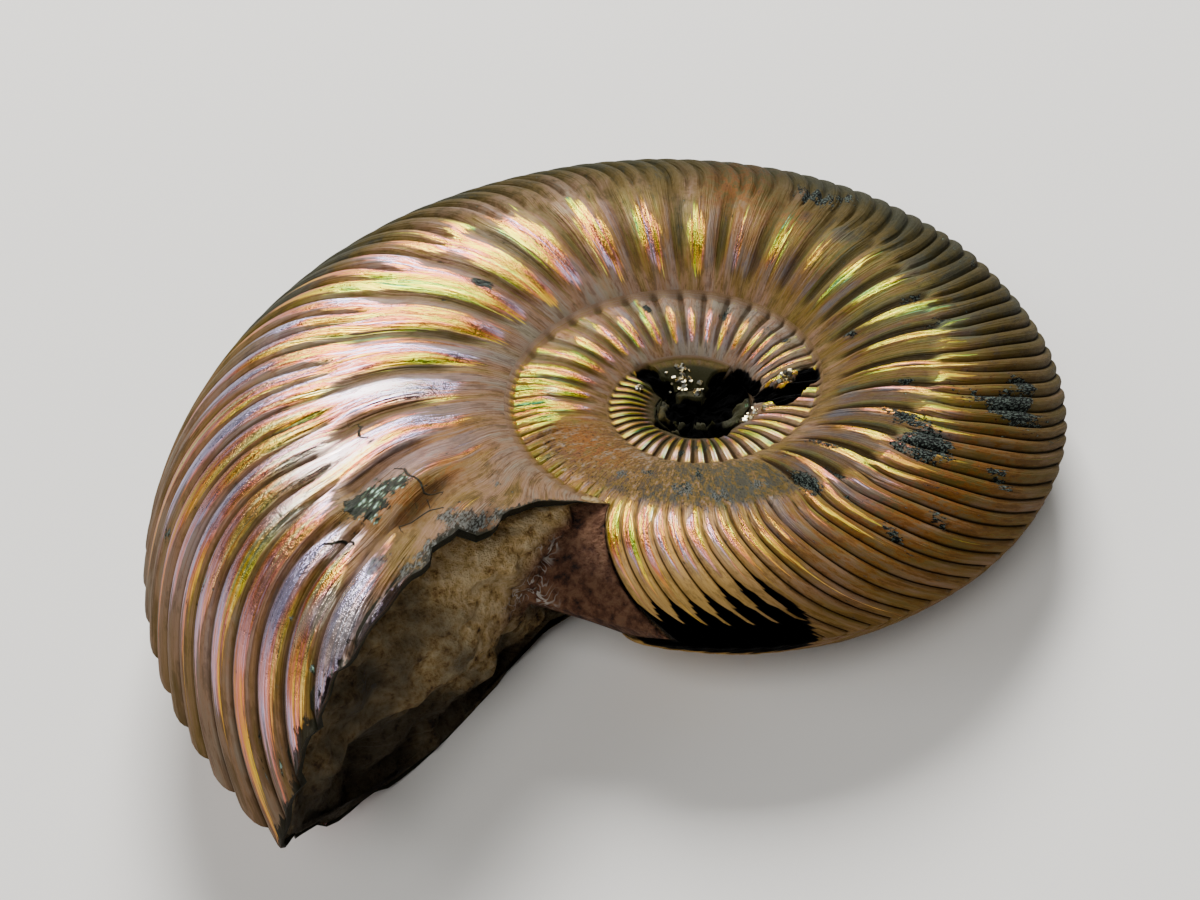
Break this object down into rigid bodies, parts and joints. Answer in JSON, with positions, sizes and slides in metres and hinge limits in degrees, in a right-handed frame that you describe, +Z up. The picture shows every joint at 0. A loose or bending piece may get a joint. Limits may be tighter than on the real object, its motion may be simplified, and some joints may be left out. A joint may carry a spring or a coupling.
{
  "type": "pyritized fossil ammonite",
  "caption": "Flat coiled fossil ammonite with sharp ribs, golden pearly shell over pyrite and a broken mouth filled with stone, lying on its side.",
  "frame": {"origin": "middle of the footprint, on the surface that the fossil lies on", "axes": "+Z up, through the flat of the coil; -Y towards the viewer, with the broken mouth at the front left (-X, -Y) and opening towards +X and -Y; +X to the right"},
  "size_m": [0.041, 0.041, 0.011],
  "materials": {
    "pyritized_shell": "satin"
  },
  "bodies": {
    "root": {"ammonite": "pyritized_shell"}
  },
  "joints": []
}
